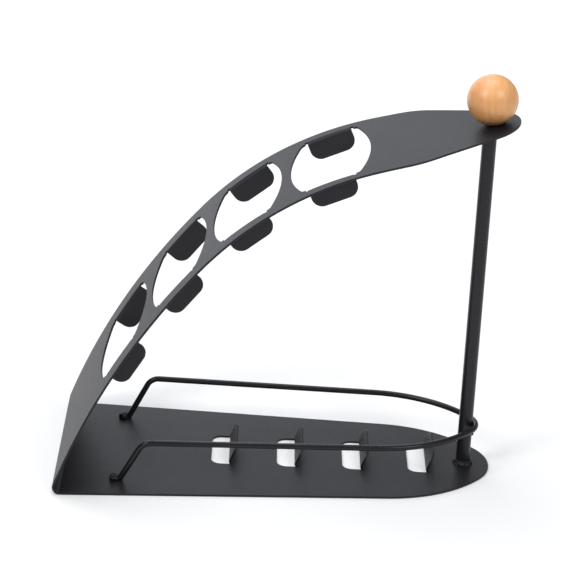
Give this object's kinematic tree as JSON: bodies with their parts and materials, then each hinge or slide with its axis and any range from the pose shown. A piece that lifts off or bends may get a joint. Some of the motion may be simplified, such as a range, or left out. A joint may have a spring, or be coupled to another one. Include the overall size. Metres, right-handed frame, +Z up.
{
  "type": "remote control holder",
  "caption": "Remote control holder: a curved steel strip with leaning slots rises from a round-ended base plate to a post with a wooden ball, over a low wire rail.",
  "frame": {"origin": "middle of the object's footprint, on the surface that the base plate stands on", "axes": "+X from the main fold toward the round tip and the post, +Z up, +Y across the holder"},
  "size_m": [0.2012, 0.095, 0.191],
  "materials": {
    "black_steel": "fine matte powder coat",
    "light_wood": "smooth clear varnish"
  },
  "bodies": {
    "root": {"frame_sheet": "black_steel", "wire_rail": "black_steel", "post": "black_steel", "weld_beads": "black_steel", "wood_ball": "light_wood"}
  },
  "joints": []
}
